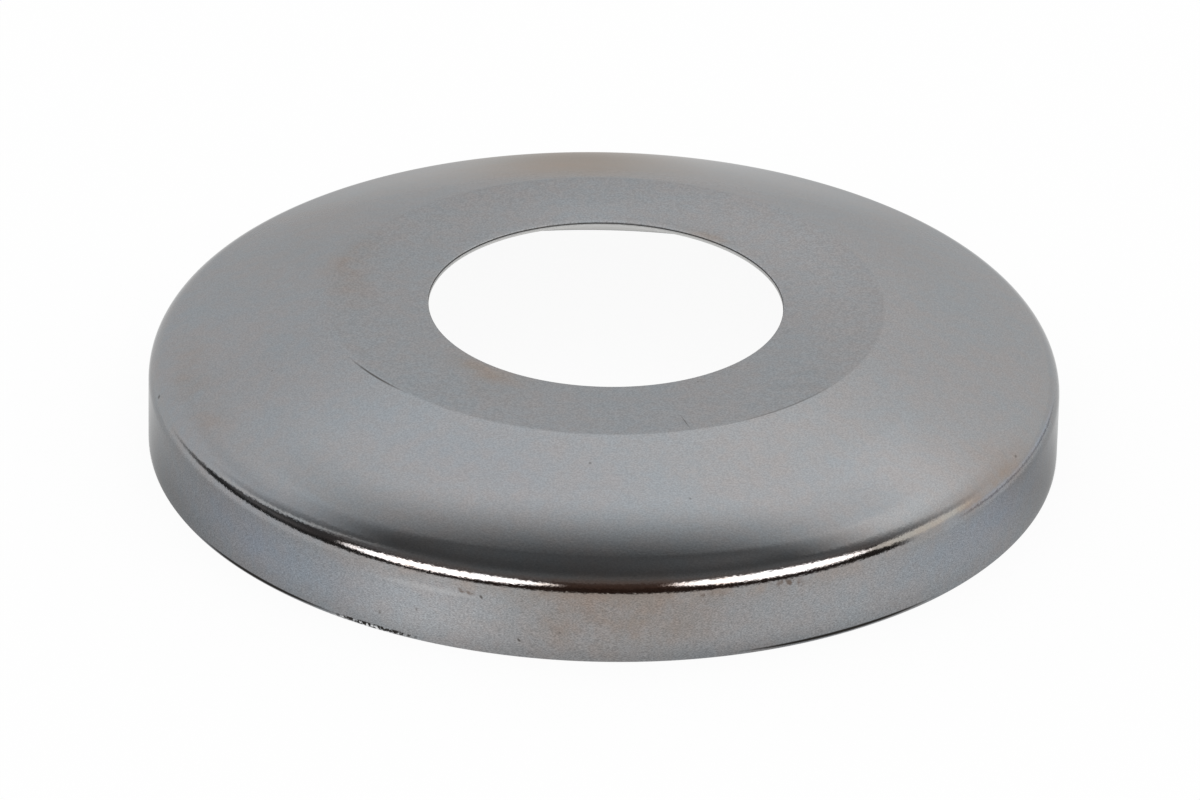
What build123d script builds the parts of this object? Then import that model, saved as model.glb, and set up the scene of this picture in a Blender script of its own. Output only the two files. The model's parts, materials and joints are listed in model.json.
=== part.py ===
from build123d import *

import os
from math import hypot, radians, tan

# Tap escutcheon: a round cover plate pressed from one disc of thin steel sheet, then chrome plated.
#
# From the wall outwards: a short skirt with a little draft stands on the wall, a bend turns it into
# a shallow spherical dome, and the dome ends at a crease around a flat ring with the pipe hole punched
# through it. The sheet has one thickness all over, so the plate is hollow on the wall side.
#
# Frame, in millimetres: the origin is the middle of the rim, in the plane of the wall, and +Z runs
# along the pipe hole, away from the wall.

# Driving dimensions, all taken on the outside of the sheet
outside_diameter = 55.0  # over the rim of the skirt
height = 9.0  # from the wall to the flat ring
hole_diameter = 21.3  # slides over a half-inch pipe thread
flat_diameter = 33.4  # of the flat ring, at the crease
dome_drop = 3.42  # from the flat ring down to where dome and skirt would meet without the bend
crease_radius = 1.0  # of the soft corner between flat ring and dome
bend_radius = 2.35  # of the bend between dome and skirt
draft_angle = 0.5  # degrees that the skirt opens towards the wall
sheet_thickness = 0.3
edge_break = 0.08  # bevel along the two cut edges on the show side

hole_radius = hole_diameter / 2
flat_radius = flat_diameter / 2
rim_radius = outside_diameter / 2
shoulder_height = height - dome_drop


def skirt_radius(level):
    """Outside radius of the skirt's straight side at a height above the wall."""
    return rim_radius - level * tan(radians(draft_angle))


def dome_radius():
    """Radius of the sphere, centred on the pipe axis, that holds both the crease and the shoulder."""
    shoulder_radius = skirt_radius(shoulder_height)
    squares = flat_radius**2 + height**2 - shoulder_radius**2 - shoulder_height**2
    centre_height = squares / (2 * dome_drop)
    return hypot(flat_radius, height - centre_height)


def outside():
    """Half section of the outside, closed along the pipe axis and a little behind the wall."""
    crease = (flat_radius, height)
    shoulder = (skirt_radius(shoulder_height), shoulder_height)
    behind_wall = -2 * sheet_thickness
    skirt_end = (skirt_radius(behind_wall), behind_wall)
    with BuildLine() as section:
        Line((0, height), crease)
        RadiusArc(crease, shoulder, dome_radius())
        Line(shoulder, skirt_end)
        fillet(section.vertices().sort_by_distance(crease)[0], crease_radius)
        fillet(section.vertices().sort_by_distance(shoulder)[0], bend_radius)
        Polyline(skirt_end, (0, behind_wall), (0, height))
    return section.line


def sheet_section():
    """Half section of the sheet: between the outside and the same outline moved in by one thickness,
    trimmed at the pipe hole and at the wall, with the two cut edges broken."""
    cut_edges = [(hole_radius, height), (rim_radius, 0)]
    with BuildSketch(Plane.XZ) as section:
        with BuildLine():
            add(outside())
        make_face()
        offset(amount=-sheet_thickness, mode=Mode.SUBTRACT)
        with Locations((hole_radius, 0)):
            Rectangle(rim_radius, height, align=(Align.MIN, Align.MIN), mode=Mode.INTERSECT)
        chamfer([section.vertices().sort_by_distance(edge)[0] for edge in cut_edges], edge_break)
    return section.sketch


def escutcheon():
    """The plate: its section turned once around the pipe axis, one solid."""
    return revolve(sheet_section(), axis=Axis.Z)


def main():
    os.makedirs("parts", exist_ok=True)
    export_step(escutcheon(), "parts/escutcheon.step")


main()
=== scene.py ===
# %% [markdown]
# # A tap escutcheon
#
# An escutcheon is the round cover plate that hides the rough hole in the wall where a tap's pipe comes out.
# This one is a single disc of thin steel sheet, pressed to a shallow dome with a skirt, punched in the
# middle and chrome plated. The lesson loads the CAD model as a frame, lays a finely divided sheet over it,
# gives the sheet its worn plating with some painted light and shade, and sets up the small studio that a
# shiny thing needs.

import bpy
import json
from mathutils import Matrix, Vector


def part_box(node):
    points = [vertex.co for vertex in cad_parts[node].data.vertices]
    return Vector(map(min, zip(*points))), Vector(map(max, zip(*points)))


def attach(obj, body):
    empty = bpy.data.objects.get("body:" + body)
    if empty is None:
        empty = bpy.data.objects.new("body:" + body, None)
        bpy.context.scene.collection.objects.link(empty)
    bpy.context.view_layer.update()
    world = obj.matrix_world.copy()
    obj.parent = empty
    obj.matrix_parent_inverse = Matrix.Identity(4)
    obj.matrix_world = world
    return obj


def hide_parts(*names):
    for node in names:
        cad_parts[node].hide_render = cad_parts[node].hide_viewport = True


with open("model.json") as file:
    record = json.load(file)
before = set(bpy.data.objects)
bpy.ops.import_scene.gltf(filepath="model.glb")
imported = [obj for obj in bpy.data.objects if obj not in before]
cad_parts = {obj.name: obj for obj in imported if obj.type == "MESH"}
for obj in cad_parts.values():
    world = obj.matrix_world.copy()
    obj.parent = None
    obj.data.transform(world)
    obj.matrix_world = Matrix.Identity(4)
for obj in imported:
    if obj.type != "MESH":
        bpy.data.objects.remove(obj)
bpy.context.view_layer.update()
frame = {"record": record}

# %% [markdown]
# ## Sizes
#
# The outside sizes come from the frame, so that the dressed plate can never outgrow the CAD model. The sizes
# of the pressing itself, such as the bend between dome and skirt, repeat those of the CAD model. Blender
# works in metres, so one millimetre gets a name.

# %% Sizes of the pressing
import json

import bpy
import numpy as np
from mathutils import Quaternion, Vector

MM = 0.001
low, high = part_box("escutcheon")
rim_radius = min(high.x, high.y, -low.x, -low.y)
height = high.z - low.z
pipe_hole = next(mount for mount in frame["record"]["mounts"] if mount["name"] == "pipe_hole")
hole_radius = pipe_hole["dims"]["r_mm"] * MM

flat_radius = 16.7 * MM
dome_drop = 3.42 * MM
crease_radius = 1.0 * MM
bend_radius = 2.35 * MM
draft = np.radians(0.5)
sheet = 0.3 * MM
edge_round = 0.1 * MM
print(f"rim {rim_radius / MM:.3f} mm, height {height / MM:.3f} mm, hole {hole_radius / MM:.3f} mm")

# %% [markdown]
# ## The section
#
# A pressing that is round about one axis could be spun with a Screw modifier. Here its half section is
# worked out instead, as rows of points, because each row can then carry its own direction out of the sheet
# and its own distance from the hole, and both are needed later. The section is made of straight lines and
# arcs that touch: the crease touches the flat ring and the dome, the bend touches the dome and the skirt.

# %% Where the arcs touch
shoulder = np.array([rim_radius - (height - dome_drop) * np.tan(draft), height - dome_drop])
dome_middle = (flat_radius**2 + height**2 - shoulder @ shoulder) / (2 * dome_drop)
dome_radius = np.hypot(flat_radius, height - dome_middle)

crease_level = height - crease_radius
crease_middle = np.sqrt((dome_radius - crease_radius) ** 2 - (crease_level - dome_middle) ** 2)
crease_turn = np.arctan2(crease_middle, crease_level - dome_middle)

# The bend's middle lies one bend radius inside the skirt's line and inside the dome's circle.
skirt_out = np.array([np.cos(draft), np.sin(draft)])
skirt_line = skirt_out[0] * rim_radius - bend_radius - skirt_out[1] * dome_middle
reach = np.sqrt((dome_radius - bend_radius) ** 2 - skirt_line**2)
bend_middle = skirt_line * skirt_out + reach * np.array([-skirt_out[1], skirt_out[0]])
bend_middle[1] += dome_middle
bend_turn = np.arctan2(bend_middle[0], bend_middle[1] - dome_middle)
print(f"dome radius {dome_radius / MM:.2f} mm, bend from {np.degrees(bend_turn):.1f} degrees")


# %% Rows of the outside
def arc(middle, radius, start, end, rows):
    """Points on a circle of the section, and the directions out of it. The angle runs from straight up
    towards the rim, in even steps: point = middle + radius * (sin, cos) and direction = (sin, cos)."""
    turn = np.linspace(start, end, rows)
    out = np.stack([np.sin(turn), np.cos(turn)], axis=1)
    return np.asarray(middle) + radius * out, out


def run(start, end, out, rows):
    """Points in even steps along a straight line of the section, all with one direction out of it."""
    share = np.linspace(0, 1, rows)[:, None]
    return (1 - share) * np.asarray(start) + share * np.asarray(end), np.tile(out, (rows, 1))


upright = np.pi / 2 - draft
bend_end = bend_middle + bend_radius * skirt_out
rim_top = np.array([rim_radius - edge_round * np.tan(draft), edge_round])
flat_ring, *lower_parts = [
    run((hole_radius + edge_round, height), (crease_middle, height), (0, 1), 14),
    arc((crease_middle, crease_level), crease_radius, 0, crease_turn, 8),
    arc((0, dome_middle), dome_radius, crease_turn, bend_turn, 22),
    arc(bend_middle, bend_radius, bend_turn, upright, 26),
    run(bend_end, rim_top, skirt_out, 9),
]
# Each part starts where the one before it ends, so its first row is left out.
outside = np.concatenate([flat_ring[0]] + [part_points[1:] for part_points, _ in lower_parts])
outside_out = np.concatenate([flat_ring[1]] + [part_out[1:] for _, part_out in lower_parts])
print("outside rows", len(outside))

# %% [markdown]
# ## One closed sheet
#
# A Solidify modifier could give the sheet its thickness, but it would leave the two cut edges as sharp
# corners. The inside is therefore the outside moved in by one sheet thickness, with half as many rows, and
# small quarter rounds join the two at the pipe hole and at the rim. The result is one closed line, so the
# finished mesh has no open edge.

# %% The closed section
ROUND_ROWS = 5
hole_corner = (hole_radius + edge_round, height - edge_round)
rim_corner = (rim_radius - edge_round, edge_round)
hole_round, _ = arc(hole_corner, edge_round, -np.pi / 2, 0, ROUND_ROWS)
rim_round, _ = arc(rim_corner, edge_round, np.pi / 2, np.pi, ROUND_ROWS)
inside = (outside - sheet * outside_out)[::-2]
inside[0] = rim_radius - sheet, 0
inside[-1] = hole_radius, height - sheet

section = np.concatenate([outside, rim_round[1:], inside, hole_round[:-1]])
section_out = np.concatenate(
    [
        outside_out,
        np.tile(skirt_out, (ROUND_ROWS - 1, 1)),
        outside_out[::-2],
        np.tile((0, 1), (ROUND_ROWS - 1, 1)),
    ]
)
steps = np.hypot(*(np.roll(section, -1, axis=0) - section).T)
down = np.concatenate([[0], np.cumsum(steps)])
outside_length = down[len(outside) - 1]
print(f"section rows {len(section)}, outside {outside_length / MM:.2f} mm from hole to rim")

# %% [markdown]
# ## Carried around
#
# Press tools leave thin sheet a little uneven, which shows as soft waver in the reflections. A Displace
# modifier could do that, but a sum of a few slow waves is easier to keep small. The punch also drags the
# sheet down a little around the hole. Both only ever push the sheet inwards, by hundredths of a millimetre,
# so the plate stays inside the CAD box. The section is then carried around the pipe axis, as one array of
# rows and columns.

# %% The grid of points
COLUMNS = 720
UNEVEN = 0.012 * MM
PUNCH_DRAG = 0.05 * MM
PUNCH_REACH = 2.8 * MM
rng = np.random.default_rng(55)
turns = np.linspace(-np.pi, np.pi, COLUMNS, endpoint=False)
outside_down = down[: len(outside)]
rim_down = np.full(ROUND_ROWS - 1, outside_length)
hole_down = np.zeros(ROUND_ROWS - 1)
row_down = np.concatenate([outside_down, rim_down, outside_down[::-2], hole_down])


def uneven(turn, distance):
    """Unevenness of the pressing, from 0 to 1: a mean of slow waves, each a cosine of a whole number of
    waves around the plate times a cosine along the section, with random phases."""
    around = np.array([2, 3, 5, 8, 11, 17])
    along = np.array([40, 26, 19, 13, 10, 8]) * MM
    weight = np.array([1.0, 0.8, 0.6, 0.45, 0.35, 0.25])
    phase = rng.uniform(0, 2 * np.pi, (2, len(around)))
    waves_around = np.cos(around * turn[..., None] + phase[0])
    waves_along = np.cos(2 * np.pi * distance[..., None] / along + phase[1])
    return 0.5 + 0.5 * ((waves_around * waves_along) @ weight) / weight.sum()


def punched(distance):
    """How far the punch drags the sheet down, from 1 at the hole to 0: the square of the share that is left
    of the reach, so that the slope grows evenly towards the hole."""
    return np.clip(1 - distance / PUNCH_REACH, 0, 1) ** 2


turn_grid, down_grid = np.meshgrid(turns, row_down)
push = -UNEVEN * uneven(turn_grid, down_grid) - PUNCH_DRAG * punched(down_grid)
radius_grid = section[:, :1] + push * section_out[:, :1]
# The draft tips the skirt's push a little below the wall, so the level stops at 0.
level_grid = np.maximum(section[:, 1:] + push * section_out[:, 1:], 0)
points = np.stack([radius_grid * np.sin(turn_grid), -radius_grid * np.cos(turn_grid), level_grid], axis=-1)
print("grid", points.shape, f"pushed in by up to {-push.min() / MM:.4f} mm")


# %% The mesh
def grid_faces(rows, columns):
    """Four-cornered faces of a grid that closes on itself both ways: each point joins the next row, the next
    row's next column and the next column, and the last row and column join the first."""
    row, column = np.meshgrid(np.arange(rows), np.arange(columns), indexing="ij")
    next_row, next_column = (row + 1) % rows, (column + 1) % columns
    corners = [(row, column), (next_row, column), (next_row, next_column), (row, next_column)]
    return np.stack([r * columns + c for r, c in corners], axis=-1).reshape(-1, 4)


def link(thing):
    """Puts an object into the scene and gives it back."""
    bpy.context.scene.collection.objects.link(thing)
    return thing


SHARP_FROM = np.radians(50)
faces = grid_faces(len(section), COLUMNS)
plate_mesh = bpy.data.meshes.new("escutcheon_plate")
plate_mesh.from_pydata(points.reshape(-1, 3), [], faces)
plate_mesh.shade_smooth()
plate_mesh.set_sharp_from_angle(angle=SHARP_FROM)
plate = link(bpy.data.objects.new("escutcheon_plate", plate_mesh))
print("plate", len(plate_mesh.polygons), "faces")

# %% [markdown]
# ## A map that follows the sheet
#
# Stains, rubbed lines and scratches follow the pressing: around it, or down it from the hole. So the plate
# gets a UV map that is the sheet unrolled, in millimetres. Sideways is the way around from the front,
# measured at the rim, and upwards is the way along the section, measured from the hole. The map's seam is at
# the back.

# %% The unrolled map
row, column = np.meshgrid(np.arange(len(section)), np.arange(COLUMNS), indexing="ij")
turn_steps = np.linspace(-np.pi, np.pi, COLUMNS + 1) * rim_radius / MM
corner_rows = np.stack([row, row + 1, row + 1, row], axis=-1)
corner_columns = np.stack([column, column, column + 1, column + 1], axis=-1)
unrolled = np.stack([turn_steps[corner_columns], down[corner_rows] / MM], axis=-1)
unrolled_map = plate_mesh.uv_layers.new(name="unrolled")
unrolled_map.uv.foreach_set("vector", unrolled.astype(np.float32).ravel())
print("unrolled map", unrolled.min(axis=(0, 1, 2)), unrolled.max(axis=(0, 1, 2)))

# %% [markdown]
# ## Tarnish, bloom and painted light
#
# Handled plating goes brown in soft patches, shows a bluish bloom in others, and is rubbed brighter in a
# few. The bluish spots on the left and right of the skirt are also painted shade, darker towards the sides,
# and one lighter spot left of the skirt's middle is a painted pool of light. Such clouds could be painted by
# hand. A sum of soft spots does the same and can be read: each spot has a place on the unrolled sheet, a
# reach both ways and a strength, and fades like a bell curve. The sums go onto the mesh as attributes for
# the material.


# %% Soft spots
def clouds(spots):
    """Sum of soft spots over the grid. A spot is (degrees around from the front, millimetres from the hole,
    reach in degrees, reach in millimetres, strength), and its value is strength * exp(-(a^2 + b^2)), where
    a and b are the distances from its middle, each divided by its reach."""
    total = np.zeros(turn_grid.shape)
    for around, distance, reach_around, reach_down, strength in spots:
        away = (np.degrees(turn_grid) - around + 180) % 360 - 180
        below = down_grid / MM - distance
        total += strength * np.exp(-((away / reach_around) ** 2) - (below / reach_down) ** 2)
    return total


brown_spots = [
    (2, 20.0, 12, 2.2, 1.2),  # middle of the skirt
    (4, 17.9, 42, 0.8, 1.0),  # along the bend at the front
    (58, 17.3, 7, 0.6, 1.1),  # right end of the bend
    (48, 17.5, 7, 0.5, 0.4),
    (62, 15.9, 7, 1.4, 0.35),
    (-78, 15.0, 8, 1.5, 0.5),  # left end of the bend
    (-64, 15.7, 9, 1.2, 0.5),
    (-105, 5.4, 11, 1.2, 0.75),  # streak across the crease on the left
    (-90, 4.3, 8, 0.9, 0.4),
    (-38, 0.9, 12, 1.0, 1.3),  # beside the hole
    (-30, 2.8, 7, 0.9, 0.35),
    (146, 0.3, 10, 0.5, 1.2),
    (-172, 10.5, 24, 4.6, 0.4),  # back of the dome
    (-125, 11, 24, 5, 0.25),
]
bloom_and_shade_spots = [
    # The two spots on the skirt's sides are bluish bloom and also painted shade, darker towards the sides.
    (-47, 20.0, 15, 2.0, 1.0),  # left of the skirt
    (57, 19.4, 13, 1.6, 1.1),  # right of the skirt
    (-20, 9.5, 30, 4, 0.2),  # front of the dome
]
rubbed_and_lit_spots = [
    (132, 3.0, 45, 4.5, 1.0),  # far side of the flat ring
    (-172, 1.2, 22, 1.5, 0.6),
    (46, 14.4, 8, 2.2, 0.7),  # right of the dome's edge
    # A painted pool of light, where the skirt mirrors the brighter floor in front.
    (-22, 20.6, 8, 1.0, 0.6),  # left of the skirt's middle
    (-38, 0.9, 11, 0.9, 0.6),  # beside the hole
]
for film, film_spots in {"brown": brown_spots, "bloom_and_shade": bloom_and_shade_spots, "rubbed_and_lit": rubbed_and_lit_spots}.items():
    values = clouds(film_spots)
    on_points = plate_mesh.attributes.new(film, "FLOAT", "POINT")
    on_points.data.foreach_set("value", values.astype(np.float32).ravel())
    print(film, f"up to {values.max():.2f}")

# %% [markdown]
# ## The plating
#
# Chrome plate is a bare metal, so the Principled shader is fully metallic and everything else is in how
# evenly it mirrors. A picture of worn metal could be wrapped around it, but it would blur up close. Built
# from noise instead, the plating stays sharp: the soft tarnish and bloom from the attributes, broken up by
# noise, and the rubbed spots, among which are painted shade and a painted pool of light; two sizes of
# blots, slightly warm and slightly cool; and a fine grain in the colour. The helpers below only save
# typing: one adds a node and fills in its inputs, the others wrap common ones.

# %% Node helpers
chrome = bpy.data.materials.new("worn_chrome_and_painted_light")
chrome.use_nodes = True
chrome_tree = chrome.node_tree
chrome_tree.nodes.clear()


def node(tree, kind, inputs=None, **settings):
    """Adds a node, sets its properties, and gives each named or numbered input a value or a link."""
    made = tree.nodes.new(kind)
    for name, value in settings.items():
        setattr(made, name, value)
    for name, value in (inputs or {}).items():
        if isinstance(value, bpy.types.NodeSocket):
            tree.links.new(value, made.inputs[name])
        else:
            made.inputs[name].default_value = value
    return made


def ramp(value, start, end, from_value, to_value):
    """A number that goes smoothly from one value to another while its input goes from start to end."""
    inputs = {0: value, 1: start, 2: end, 3: from_value, 4: to_value}
    return node(chrome_tree, "ShaderNodeMapRange", inputs, interpolation_type="SMOOTHSTEP").outputs[0]


def sums(operation, first, second):
    """One arithmetic step on two numbers."""
    return node(chrome_tree, "ShaderNodeMath", {0: first, 1: second}, operation=operation).outputs[0]


def tint(factor, base, colour, blend="MIX"):
    """A colour laid over another by a factor from 0 to 1."""
    inputs = {0: factor, 6: base, 7: colour}
    return node(chrome_tree, "ShaderNodeMix", inputs, data_type="RGBA", blend_type=blend).outputs[2]


object_place = node(chrome_tree, "ShaderNodeTexCoord").outputs["Object"]
unrolled_place = node(chrome_tree, "ShaderNodeUVMap", uv_map="unrolled").outputs["UV"]
down_sheet = node(chrome_tree, "ShaderNodeSeparateXYZ", {0: unrolled_place}).outputs["Y"]


def noise(scale, detail=2.0, roughness=0.5, place=object_place):
    """Noise in the object's own space, with about `scale` blots in a metre."""
    inputs = {"Vector": place, "Scale": scale, "Detail": detail, "Roughness": roughness}
    return node(chrome_tree, "ShaderNodeTexNoise", inputs).outputs[0]


def attribute(name):
    """A number that the mesh carries at its points."""
    return node(chrome_tree, "ShaderNodeAttribute", attribute_name=name).outputs["Fac"]


# %% Colour of the plating
PLATE_COLOUR = (0.297, 0.304, 0.311, 1)
BROWN_FILM = (0.97, 0.83, 0.73, 1)
BLUE_FILM_AND_SHADE = (0.89, 0.97, 1.08, 1)
RUBBED_AND_LIT = (1.14, 1.14, 1.14, 1)
WARM_BLOT = (1.018, 0.993, 0.985, 1)
COOL_BLOT = (0.982, 1.0, 1.015, 1)

cloudy = noise(350, detail=4, roughness=0.6)
brown_factor = sums("MULTIPLY", attribute("brown"), ramp(cloudy, 0.35, 0.65, 0.35, 1.0))
bloom_and_shade_factor = sums("MULTIPLY", attribute("bloom_and_shade"), ramp(cloudy, 0.3, 0.7, 1.0, 0.6))
# Rubbed spots, one of them a painted pool of light on the skirt; bluish bloom, also painted shade on the
# skirt's sides.
colour = tint(attribute("rubbed_and_lit"), PLATE_COLOUR, RUBBED_AND_LIT, blend="MULTIPLY")
colour = tint(bloom_and_shade_factor, colour, BLUE_FILM_AND_SHADE, blend="MULTIPLY")
colour = tint(brown_factor, colour, BROWN_FILM, blend="MULTIPLY")
for blots in (noise(1100, detail=3), noise(160, detail=2)):
    two_tints = tint(ramp(blots, 0.35, 0.65, 0.0, 1.0), WARM_BLOT, COOL_BLOT)
    colour = tint(1.0, colour, two_tints, blend="MULTIPLY")

# The grain is noise pressed flat, so that its blots lie along the skirt. Half of it shows on the flat ring,
# a little less on the dome, and all of it on the skirt.
pressed_inputs = {"Vector": object_place, "Scale": (1, 1, 3)}
pressed_place = node(chrome_tree, "ShaderNodeMapping", pressed_inputs).outputs[0]
pressed_grain = ramp(noise(8500, place=pressed_place), 0.25, 0.75, 0.7, 1.3)
on_dome = ramp(down_sheet, 4.5, 9.0, 0.5, 0.41)
on_skirt = ramp(down_sheet, 17.5, 18.6, 0.0, 0.59)
grained = tint(1.0, colour, pressed_grain, blend="MULTIPLY")
colour = tint(sums("ADD", on_dome, on_skirt), colour, grained)
print("colour nodes", len(chrome_tree.nodes))

# %% [markdown]
# ## Marks of use, and painted light at the rim
#
# The plate has been fitted and handled: there are scratches and specks, and smudges on the bend. A thin
# dark line low on the skirt is painted shade, the mirrored shadow where the rim meets the floor, and a pale
# strip and pale glints at the rim's edge and a soft pale band below the bend are painted highlights. Marks
# could be painted into a picture. Here each one is a soft oval on the unrolled map, so that it stays crisp
# at any size and its place can be read. Noise breaks some of them up.


# %% Places of the marks
def mark(around, distance, half_length, half_width, tilt=0.0, core=0.2):
    """A soft oval on the unrolled sheet, 1 in its middle and 0 at its edge; a long thin one is a scratch.
    Its place is in degrees and millimetres as for the soft spots, its size in millimetres, its tilt in
    degrees, and core is the share of its size that is 1 all over."""
    inputs = {
        "Vector": unrolled_place,
        "Location": (np.radians(around) * rim_radius / MM, distance, 0),
        "Rotation": (0, 0, np.radians(tilt)),
        "Scale": (half_length, half_width, 1),
    }
    in_oval = node(chrome_tree, "ShaderNodeMapping", inputs, vector_type="TEXTURE").outputs[0]
    from_middle = node(chrome_tree, "ShaderNodeVectorMath", {0: in_oval}, operation="LENGTH")
    return ramp(from_middle.outputs["Value"], core, 1.0, 1.0, 0.0)


def any_of(marks):
    """The largest of several marks at each place."""
    most = marks[0]
    for more in marks[1:]:
        most = sums("MAXIMUM", most, more)
    return most


speck_cells = node(chrome_tree, "ShaderNodeTexVoronoi", {"Vector": object_place, "Scale": 420.0})
specks = sums(
    "MULTIPLY",
    ramp(speck_cells.outputs["Distance"], 0.02, 0.05, 1.0, 0.0),
    ramp(speck_cells.outputs["Color"], 0.62, 0.66, 0.0, 1.0),
)
scratches_and_spots = any_of(
    [
        mark(17.8, 4.9, 1.1, 0.06, tilt=87),
        mark(-53, 6.1, 5.6, 0.1, tilt=-1.5),
        mark(-14.2, 18.8, 0.2, 0.12, tilt=50),
        mark(-77, 17.3, 0.22, 0.18),
        mark(-9.5, 21.3, 0.2, 0.1, tilt=40),
    ]
)
faint_spots = any_of(
    [
        specks,
        mark(40, 5.95, 9.5, 0.08),
        mark(-27.3, 21.2, 0.12, 0.22),
        mark(-22.4, 20.4, 0.1, 0.16),
        mark(-4.6, 20.6, 0.12, 0.12),
        mark(13.4, 11.5, 0.14, 0.12),
        mark(64.5, 16.9, 0.2, 0.14),
    ]
)
smudges = any_of(
    [
        mark(23.4, 18.2, 1.5, 0.4, tilt=8),
        mark(13.6, 18.25, 1.0, 0.22),
        mark(-16.5, 18.6, 1.0, 0.2, tilt=10),
    ]
)
broken_smudges = sums("MULTIPLY", smudges, ramp(noise(2600, detail=3), 0.42, 0.62, 0.0, 1.0))
# A painted highlight: a soft pale band just below the bend's dark line, with a thin pale line in it.
pale_highlight = any_of([mark(-21.0, 18.85, 4.6, 0.3), mark(-20.5, 18.8, 2.2, 0.09, tilt=5)])
print("spots and smudges placed, nodes", len(chrome_tree.nodes))

# %% Painted shade and highlights along the rim
beads = noise(5200)
# Painted shade: a thin dark line low on the skirt, the mirrored shadow where the rim meets the floor, left
# and right of the front, broken into beads by noise on the left.
broken_rim_shadow = sums("MULTIPLY", mark(-28, 22.25, 3.4, 0.16, core=0.6), ramp(beads, 0.47, 0.52, 1.0, 0.0))
rim_shadow_line = any_of([mark(-46, 22.25, 7.0, 0.12, core=0.5), broken_rim_shadow, mark(31, 22.22, 8.0, 0.12, core=0.5)])
# Painted highlights: a pale strip on the rim's edge, and pale glints between the dark beads.
rim_highlight = any_of([mark(-43, 22.5, 7.0, 0.2), mark(36, 22.5, 6.0, 0.2, core=0.5)])
rim_glints = sums("MULTIPLY", mark(-29, 22.35, 3.0, 0.16, core=0.5), ramp(beads, 0.52, 0.57, 0.0, 1.0))
print("rim worn, nodes", len(chrome_tree.nodes))

# %% Colours of the marks
PALE_HIGHLIGHT = (0.48, 0.48, 0.48, 1)
BROWN_DIRT = (0.12, 0.085, 0.065, 1)
RIM_HIGHLIGHT = (0.6, 0.6, 0.6, 1)
DARK_DIRT = (0.06, 0.055, 0.05, 1)
RIM_LINE = (0.03, 0.027, 0.025, 1)
RIM_GLINT = (0.8, 0.8, 0.8, 1)

colour = tint(sums("MULTIPLY", pale_highlight, 0.3), colour, PALE_HIGHLIGHT)
colour = tint(sums("MULTIPLY", broken_smudges, 0.8), colour, BROWN_DIRT)
colour = tint(sums("MULTIPLY", rim_highlight, 0.7), colour, RIM_HIGHLIGHT)
colour = tint(sums("MULTIPLY", faint_spots, 0.5), colour, DARK_DIRT)
colour = tint(sums("MULTIPLY", scratches_and_spots, 0.85), colour, DARK_DIRT)
# Painted shade: the mirrored shadow where the rim meets the floor.
colour = tint(rim_shadow_line, colour, RIM_LINE)
colour = tint(rim_glints, colour, RIM_GLINT)
print("marks coloured, nodes", len(chrome_tree.nodes))

# %% [markdown]
# ## Fingers, hidden sides and grain
#
# A finger has left faint ridges on the right of the flat ring: rings of a Wave texture, kept inside one soft
# oval. The hollow side is given duller plating in a lighter colour, which is also painted light in the
# shaded hollow, and the wall of the hole is dark, and both are found by their distance along the section.
# Last comes a fine grain as bump, which frays the edges of reflections. Real grain could be modelled, but a
# bump this small needs no geometry.

# %% Finger ridges
FINGER_GREY = (0.1, 0.1, 0.1, 1)
FINGER_SHARE = 0.1
finger = mark(49, 4.3, 7.5, 2.2)
from_finger = {"Vector": object_place, "Location": (-11.5 * MM, 12.4 * MM, 0)}
finger_place = node(chrome_tree, "ShaderNodeMapping", from_finger).outputs[0]
ridges = node(
    chrome_tree,
    "ShaderNodeTexWave",
    {"Vector": finger_place, "Scale": 560.0, "Distortion": 2.0, "Detail": 1.0, "Detail Scale": 0.6},
    wave_type="RINGS",
)
finger_marks = sums("MULTIPLY", finger, ramp(ridges.outputs["Fac"], 0.55, 0.95, 0.0, 1.0))
faint_finger = sums("MULTIPLY", finger_marks, FINGER_SHARE)
colour = tint(faint_finger, colour, FINGER_GREY)
polish = sums("ADD", ramp(cloudy, 0.25, 0.75, 0.06, 0.10), faint_finger)
print("finger ridges laid, nodes", len(chrome_tree.nodes))

# %% Hollow side and hole wall
HOLLOW_PLATING_AND_PAINTED_LIGHT = (0.68, 0.68, 0.67, 1)
HOLE_WALL = (0.035, 0.033, 0.031, 1)
HOLLOW_DULLNESS = 0.3
inside_start = down[len(outside) + ROUND_ROWS - 1] / MM
inside_end = down[-ROUND_ROWS] / MM
section_end = down[-1] / MM
hollow_side = sums(
    "MULTIPLY",
    ramp(down_sheet, inside_start - 0.05, inside_start + 0.1, 0.0, 1.0),
    ramp(down_sheet, inside_end - 0.1, inside_end + 0.05, 1.0, 0.0),
)
hole_wall = sums(
    "MULTIPLY",
    ramp(down_sheet, inside_end - 0.02, inside_end + 0.02, 0.0, 1.0),
    ramp(down_sheet, section_end - 0.12, section_end - 0.05, 1.0, 0.0),
)
# The hollow side's lighter colour is duller plating and also painted light in the shaded hollow.
colour = tint(hollow_side, colour, HOLLOW_PLATING_AND_PAINTED_LIGHT)
colour = tint(hole_wall, colour, HOLE_WALL)
gloss = sums("ADD", polish, sums("MULTIPLY", hollow_side, HOLLOW_DULLNESS))
print(f"inside from {inside_start:.2f} mm to {inside_end:.2f} mm along the section")

# %% Grain and shader
BEND_FROM_RIM = 7.0
GRAIN_DEPTH = 0.01 * MM
MIRROR_EDGE = (0.7, 0.7, 0.7, 1)
bend_start = outside_length / MM - BEND_FROM_RIM
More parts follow.
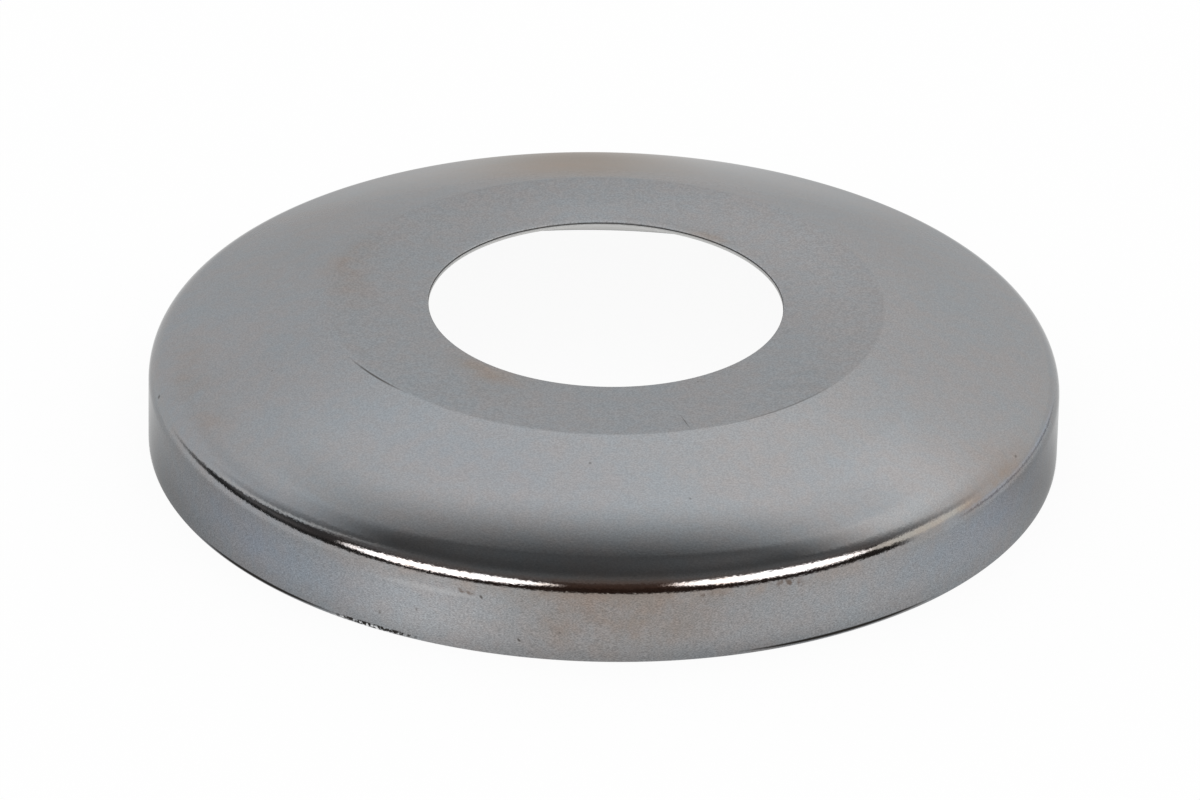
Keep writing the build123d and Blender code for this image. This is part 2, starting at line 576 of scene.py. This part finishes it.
# The grain is faint on the dome, strongest where the sheet was strained in the bend, and less on the skirt.
strained = sums(
    "ADD",
    ramp(down_sheet, bend_start, bend_start + 1.2, 0.0, 0.4),
    ramp(down_sheet, bend_start + 3.2, bend_start + 4.2, 0.0, -0.3),
)
grain_strength = sums("ADD", strained, ramp(down_sheet, bend_start - 4.0, bend_start - 0.5, 0.15, 0.5))
grain_inputs = {"Height": noise(5000), "Strength": grain_strength, "Distance": GRAIN_DEPTH}
grain = node(chrome_tree, "ShaderNodeBump", grain_inputs)
plating = node(
    chrome_tree,
    "ShaderNodeBsdfPrincipled",
    {
        "Base Color": colour,
        "Metallic": 1.0,
        "Roughness": gloss,
        "Specular Tint": MIRROR_EDGE,
        "Normal": grain.outputs[0],
    },
)
node(chrome_tree, "ShaderNodeOutputMaterial", {"Surface": plating.outputs[0]})
plate_mesh.materials.append(chrome)
print("plating nodes", len(chrome_tree.nodes))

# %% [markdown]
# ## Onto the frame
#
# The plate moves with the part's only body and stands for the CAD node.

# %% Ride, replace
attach(plate, "root")
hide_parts("escutcheon")
print(plate.name, "is on the frame")

# %% [markdown]
# ## The floor
#
# The plate lies on a white sheet. A white floor that only scatters light would go grey under the plate,
# where little light gets in, so most of what the camera and the metal see of it is a plain glow of strength
# 1, and the rest is a matte white that takes the plate's shadow. From below the floor is left out, to show
# the hollow side.

# %% Floor
FLOOR_HALF = 2.5
FLOOR_MATTE = (0.93, 0.93, 0.93, 1)
SEEN_GLOW = 0.93
MIRRORED_GLOW = 0.6
floor_corners = [(x * FLOOR_HALF, y * FLOOR_HALF, 0) for x, y in ((-1, -1), (1, -1), (1, 1), (-1, 1))]
floor_mesh = bpy.data.meshes.new("floor")
floor_mesh.from_pydata(floor_corners, [], [(0, 1, 2, 3)])
floor = link(bpy.data.objects.new("floor", floor_mesh))
floor_white = bpy.data.materials.new("floor_white")
floor_white.use_nodes = True
floor_tree = floor_white.node_tree
floor_tree.nodes.clear()
matte = node(floor_tree, "ShaderNodeBsdfDiffuse", {"Color": FLOOR_MATTE}).outputs[0]
glow = node(floor_tree, "ShaderNodeEmission", {"Color": (1, 1, 1, 1), "Strength": 1.0}).outputs[0]
clear = node(floor_tree, "ShaderNodeBsdfTransparent").outputs[0]
print("floor", 2 * FLOOR_HALF, "m wide")

# %% What each ray sees of the floor
ray = node(floor_tree, "ShaderNodeLightPath").outputs
looked_at = node(
    floor_tree,
    "ShaderNodeMath",
    {0: ray["Is Camera Ray"], 1: ray["Is Transmission Ray"]},
    operation="ADD",
).outputs[0]
mirrored = node(
    floor_tree,
    "ShaderNodeMath",
    {0: ray["Is Glossy Ray"], 1: MIRRORED_GLOW},
    operation="MULTIPLY",
).outputs[0]
glow_share = node(
    floor_tree,
    "ShaderNodeMath",
    {0: looked_at, 1: SEEN_GLOW, 2: mirrored},
    operation="MULTIPLY_ADD",
    use_clamp=True,
).outputs[0]
white = node(floor_tree, "ShaderNodeMixShader", {0: glow_share, 1: matte, 2: glow}).outputs[0]
from_below = node(floor_tree, "ShaderNodeNewGeometry").outputs["Backfacing"]
shown = node(floor_tree, "ShaderNodeMixShader", {0: from_below, 1: white, 2: clear}).outputs[0]
node(floor_tree, "ShaderNodeOutputMaterial", {"Surface": shown})
floor_mesh.materials.append(floor_white)
print("floor nodes", len(floor_tree.nodes))

# %% [markdown]
# ## A tent of light
#
# Metal shows its surroundings, so a shiny plate needs something to mirror. Lamps could stand around it, but
# they would show as spots. Photographers stand such things in a tent of white cloth. The tent here is a
# half ball that only mirror rays meet, and its glow is a formula of the direction: brightest at half
# height, where lamps stand behind the cloth, dimmer overhead, and from half height up a little dimmer on
# the left.


# %% Light of the tent
def fade(value, start, end):
    """0 before start, 1 after end, and a smooth step 3t^2 - 2t^3 between them."""
    share = np.clip((value - start) / (end - start), 0, 1)
    return share * share * (3 - 2 * share)


def tent_light(azimuth, elevation):
    """Colour of the cloth in a direction; azimuth in degrees from the back, towards the right. The level
    rises and falls by smooth steps of the elevation. It is a little higher at the sides low down, leans from
    left to right higher up, and its colour goes from cool on the left to warm on the right."""
    x = np.cos(np.radians(elevation)) * np.sin(np.radians(azimuth))
    at_sides = np.where(x < 0, 0.03, 0.1) * fade(np.abs(x), 0.08, 0.3)
    level = 0.94 + 0.26 * fade(elevation, 28, 52) - 0.65 * fade(elevation, 64, 78)
    level += at_sides * (1 - fade(elevation, 26, 45))
    level *= 1 + np.where(x < 0, 0.22, 0.14) * x * fade(elevation, 20, 45)
    return level[..., None] * (1 + 0.03 * x[..., None] * np.array([1, 0, -1]))


def glowing(name, mesh, light):
    """Puts a light card into the scene, which only mirror rays meet. Each point has a colour that it adds,
    and the share that it lets through from behind it."""
    light_layer = mesh.attributes.new("light", "FLOAT_COLOR", "POINT")
    light_layer.data.foreach_set("color", light.astype(np.float32).ravel())
    card = link(bpy.data.objects.new(name, mesh))
    card.visible_camera = card.visible_diffuse = card.visible_shadow = False
    material = bpy.data.materials.new(name)
    material.use_nodes = True
    tree = material.node_tree
    tree.nodes.clear()
    stored = node(tree, "ShaderNodeAttribute", attribute_name="light").outputs
    added = node(tree, "ShaderNodeEmission", {"Color": stored["Color"], "Strength": 1.0})
    let_through = node(tree, "ShaderNodeBsdfTransparent", {"Color": stored["Alpha"]})
    both = node(tree, "ShaderNodeAddShader", {0: added.outputs[0], 1: let_through.outputs[0]})
    node(tree, "ShaderNodeOutputMaterial", {"Surface": both.outputs[0]})
    mesh.materials.append(material)
    print(name, len(mesh.polygons), "faces, light up to", round(float(light[..., :3].max()), 2))


# %% Tent
TENT_RADIUS = 1.8
azimuths = np.arange(-180, 180, 3.0)
elevations = np.arange(0, 90, 2.0)
azimuth_grid, elevation_grid = np.meshgrid(azimuths, elevations)
sideways, upwards = np.radians(azimuth_grid), np.radians(elevation_grid)
tent_points = TENT_RADIUS * np.stack(
    [np.cos(upwards) * np.sin(sideways), np.cos(upwards) * np.cos(sideways), np.sin(upwards)],
    axis=-1,
)
below_top = (len(elevations) - 1) * len(azimuths)
tent_faces = grid_faces(len(elevations), len(azimuths))[:below_top].tolist()
top_ring = list(range(below_top, below_top + len(azimuths)))
tent_mesh = bpy.data.meshes.new("light_tent")
tent_mesh.from_pydata(tent_points.reshape(-1, 3).tolist(), [], tent_faces + [top_ring])
cloth = np.zeros(azimuth_grid.shape + (4,))
cloth[..., :3] = tent_light(azimuth_grid, elevation_grid)
glowing("light_tent", tent_mesh, cloth)

# %% [markdown]
# ## A small dark hood
#
# White cloth alone makes chrome look like paint. So a small dark hood is held close over the front of the
# bend, with two long narrow lamps shining through slots low in it. The bend mirrors the slots as two bright
# lines in a dark band, and the hood's soft upper edge as the shade that runs out over the dome, up to a
# strip of white cloth. The hood is part of a tube around the bend, and a place on it is two angles: around
# the plate from the front, and over the bend from straight out at 0 to straight up at 90 and on over the
# dome. Below 0 it carries pools of light for the skirt. Away from the front it is clear, apart from faint
# brown and grey strips at the back.


# %% Shapes on the hood
def oval(around, over, middle, reach, lean=0.0):
    """1 in the middle of an oval on the hood and 0 at its edge: 1 - fade(d), where d is the root of the
    summed squares of the distances from the middle, each divided by its reach. Its two ends are crisper
    than its sides. A lean lifts the oval for each degree around."""
    across = (around - middle[0]) / reach[0]
    up = (over - middle[1] - lean * (around - middle[0])) / reach[1]
    return 1 - fade(np.hypot(across, up), 0.45 + 0.4 * np.clip(across**2, 0, 1), 1.0)


def stripe(value, half_width):
    """A bell curve: 1 where the value is 0, falling to both sides."""
    return np.exp(-((value / half_width) ** 2))


CORNER = 2.6


def hood_dark(around, over):
    """Cover and colour of the hood itself. The shade is a rounded block, |a|^n + |b|^n, with wide soft
    edges; the band below it ends in a wedge on the left. The colour is a dark grey that smooth steps and
    bell curves lighten, reddish in the band."""
    under, beyond = np.clip(46 - over, 0, 16), np.clip(over - 50, 0, 60)
    wide = np.where(around < 0, 39.5 + 0.8 * under + 0.07 * beyond, 35.5 + under)
    tall = np.maximum(over - 40, 0) / (67 + 1.8 * stripe(around + 4, 16))
    block = ((np.abs(around) / wide) ** CORNER + tall**CORNER) ** (1 / CORNER)
    shade = (1 - fade(block, 0.72, 1.32)) * fade(over, 20, 28)
    wedge = over - np.minimum(26.5 + 0.6 * (around + 40), 27)
    band_ends = fade(around, -86, -62) * (1 - fade(around, 43, 48))
    band = fade(over, -0.5, 3.5) * (1 - fade(wedge, -2, 2)) * band_ends

    dark = 0.03 + 0.04 * fade(over, 10, 18) + 0.04 * fade(over, 20, 30) + 0.1 * stripe(over - 33, 8)
    dark += 0.04 * fade(over, 50, 95) + 0.16 * stripe(around + 52, 10) * stripe(over - 12, 4)
    dark += 0.08 * stripe(around - 22, 14) * stripe(over - 66, 18)
    dark += 0.03 * stripe(around + 20, 12) * stripe(over - 75, 20)
    redness = (1 - fade(over, 12, 38)) * stripe(around - 3, 34)
    dark_colour = dark[..., None] * (1 + redness[..., None] * np.array([0.6, 0, -0.2]))
    return np.maximum(shade, band), dark_colour


# %% Layers of the hood
LAMP = np.array([5.6, 5.4, 5.3])


def hood_layers(around, over):
    """Layers of the hood from the first to the last laid on, each a cover from 0 to 1 and a colour. The
    covers are products of bell curves and smooth steps of the two angles, and the lamps are ovals."""
    cloth = fade(over, 84, 92) * (1 - fade(np.abs(around), 40, 65))
    cloth_level = (1.08 + 0.12 * fade(over, 97, 120)) * (1 + np.where(around < 0, 0.0016, 0.001) * around)
    from_back = (around + 360) % 360 - 180
    back = stripe(from_back - 4, 12)
    skirt = (1 - fade(over, -3, 2)) * fade(over, -36, -30)
    line = over + 0.2 * (around - 60)
    right_end = fade(around, 54, 60) * (1 - fade(around, 88, 96))
    window_ends = fade(around, -72, -58) * (1 - fade(around, -48, -26))
    window = stripe(over - 30 - 0.6 * (around + 40), 2.6) * window_ends
    return [
        # White cloth above the shade
        (cloth, cloth_level[..., None] * np.ones(3)),
        # Brown strips at the back, and a grey one to each side of them
        (0.5 * back * stripe(over - 12, 16), np.array([0.42, 0.33, 0.24])),
        (0.31 * back * stripe(over - 36, 20), np.array([0.75, 0.47, 0.22])),
        (0.2 * stripe(np.abs(from_back) - 26, 13) * stripe(over - 8, 9), np.array([0.4, 0.4, 0.4])),
        # A bright and a brown place under the band, and a grey veil left of the shade
        (0.5 * stripe(around + 20, 9) * stripe(over + 3, 3.5), np.array([1.4, 1.4, 1.4])),
        (0.16 * stripe(around - 1, 15) * stripe(over + 4, 7), np.array([0.3, 0.24, 0.2])),
        (0.13 * stripe(around + 43, 15) * stripe(over - 85, 32), np.array([0.2, 0.2, 0.2])),
        # Pools of light for the skirt
        (0.8 * stripe(around + 23, 10) * skirt, np.array([1.12, 1.13, 1.14])),
        (0.6 * stripe(around - 34, 10) * skirt, np.array([1.0, 1.0, 1.0])),
        # A dark and a bright line past the right end of the band
        (0.7 * stripe(line + 0.5, 2.2) * right_end, np.array([0.28, 0.28, 0.34])),
        (0.7 * stripe(line - 5.0, 2.2) * right_end, np.array([1.12, 1.18, 1.3])),
        # The dark hood itself, and the gap in its left end
        hood_dark(around, over),
        (window, np.array([1.05, 1.05, 1.03])),
        # A dim lamp at the right end, and the two bright ones
        (oval(around, over, (49, 17.5), (12, 9)), np.array([1.4, 1.33, 1.2])),
        (oval(around, over, (-21.3, 15.6), (16.8, 8.2), lean=0.1), LAMP),
        (oval(around, over, (24.2, 18.7), (15.8, 9.3), lean=-0.08), LAMP),
    ]


# %% Hood
HOOD_RADIUS = 6 * MM
around_steps = np.arange(-180, 181, 1.0)
over_steps = np.arange(-38, 133, 1.0)
around_grid, over_grid = np.meshgrid(around_steps, over_steps)
around_turn, over_turn = np.radians(around_grid), np.radians(over_grid)
out_from_axis = bend_middle[0] + HOOD_RADIUS * np.cos(over_turn)
hood_level = bend_middle[1] + HOOD_RADIUS * np.sin(over_turn)
hood_points = np.stack(
    [out_from_axis * np.sin(around_turn), -out_from_axis * np.cos(around_turn), hood_level],
    axis=-1,
)
row, column = np.meshgrid(np.arange(len(over_steps) - 1), np.arange(len(around_steps) - 1), indexing="ij")
first_corner = (row * len(around_steps) + column).ravel()
hood_faces = first_corner[:, None] + np.array([0, 1, len(around_steps) + 1, len(around_steps)])
hood_mesh = bpy.data.meshes.new("dark_hood")
hood_mesh.from_pydata(hood_points.reshape(-1, 3), [], hood_faces)
hood_glow = np.zeros(around_grid.shape + (4,))
hood_glow[..., 3] = 1
for cover, layer_colour in hood_layers(around_grid, over_grid):
    hood_glow *= 1 - cover[..., None]
    hood_glow[..., :3] += cover[..., None] * layer_colour
glowing("dark_hood", hood_mesh, hood_glow)

# %% [markdown]
# ## A paper collar
#
# The skirt stands upright and mirrors the floor beside it, so that strip decides how the skirt looks. The
# floor itself could be painted, but then the paint would be seen. A paper collar lies there instead, again
# only for mirror rays: bright in front, where two lamps fall on it, dim on the left and right, and darker
# right under the rim, where little light gets in.


# %% Light of the collar
def collar_light(around, distance):
    """Level of the collar: a middle grey with two bright and two dim bell curves around the plate. Under the
    rim it loses a share that changes around the plate, and a smooth step ends that loss 2.5 mm out."""
    lit = 0.18 * stripe(around + 23, 11) + 0.05 * stripe(around - 33, 12)
    dim = 0.22 * stripe(around + 70, 24) + 0.24 * stripe(around - 81, 13)
    under_rim = 0.2 - 0.12 * stripe(around - 66, 16) + 0.1 * stripe(around - 20, 12)
    return (0.9 + lit - dim) * (1 - under_rim * (1 - fade(distance, 0, 2.5 * MM)))


# %% Collar
COLLAR_LEVEL = 0.01 * MM
COLLAR_FADE = 7 * MM
COLLAR_WIDTH = 12 * MM
collar_steps = np.array([0.02, 0.5, 1, 1.7, 2.5, 4, 6, 8, 10, 12]) * MM
distance_grid, ring_grid = np.meshgrid(collar_steps, np.arange(-180, 180, 2.0), indexing="ij")
from_axis = rim_radius + distance_grid
ring_turn = np.radians(ring_grid)
collar_points = np.stack(
    [from_axis * np.sin(ring_turn), -from_axis * np.cos(ring_turn), np.full(ring_turn.shape, COLLAR_LEVEL)],
    axis=-1,
)
ring_length = ring_grid.shape[1]
collar_faces = grid_faces(len(collar_steps), ring_length)[: (len(collar_steps) - 1) * ring_length]
collar_mesh = bpy.data.meshes.new("paper_collar")
collar_mesh.from_pydata(collar_points.reshape(-1, 3), [], collar_faces)
collar_cover = 1 - fade(distance_grid, COLLAR_FADE, COLLAR_WIDTH)
collar_glow = np.ones(ring_grid.shape + (4,)) * collar_cover[..., None]
collar_glow[..., :3] *= collar_light(ring_grid, distance_grid)[..., None]
collar_glow[..., 3] = 1 - collar_cover
glowing("paper_collar", collar_mesh, collar_glow)

# %% [markdown]
# ## The world
#
# The world is the light that comes from everywhere. It could be a picture of a real room. Plain white is
# enough here, because the cards above give the metal what it mirrors, and the world only lights the floor
# and everything else that does not mirror.

# %% World
world = bpy.data.worlds.new("studio")
bpy.context.scene.world = world
world.use_nodes = True
background = world.node_tree.nodes["Background"]
background.inputs["Color"].default_value = (1, 1, 1, 1)
background.inputs["Strength"].default_value = 1.0
print("world of strength", background.inputs["Strength"].default_value)

# %% [markdown]
# ## The camera
#
# The photograph was taken from in front and above with a long lens, and held a little askew. The camera
# stands at that distance and angle from the middle of the rim, looks at the point that is in the middle of
# the picture, and is then turned about its own line of sight.

# %% Camera
VIEW_ELEVATION = np.radians(28.53)
VIEW_DISTANCE = 438.7 * MM
VIEW_ROLL = np.radians(1.32)
PICTURE_WIDTH = 1200
FOCUS_PIXELS = 7235.5
picture_middle = Vector((-0.22, 0.96, 1.77)) * MM

camera_data = bpy.data.cameras.new("camera")
camera_data.sensor_width = 36
camera_data.lens = FOCUS_PIXELS / PICTURE_WIDTH * camera_data.sensor_width
camera_data.clip_start, camera_data.clip_end = 0.01, 20
camera = link(bpy.data.objects.new("camera", camera_data))
camera.location = VIEW_DISTANCE * Vector((0, -np.cos(VIEW_ELEVATION), np.sin(VIEW_ELEVATION)))
line_of_sight = picture_middle - camera.location
turned = line_of_sight.to_track_quat("-Z", "Y") @ Quaternion((0, 0, 1), VIEW_ROLL)
camera.rotation_euler = turned.to_euler()
bpy.context.scene.camera = camera
bpy.context.scene.view_settings.view_transform = "Standard"
print(f"lens {camera_data.lens:.1f} mm")
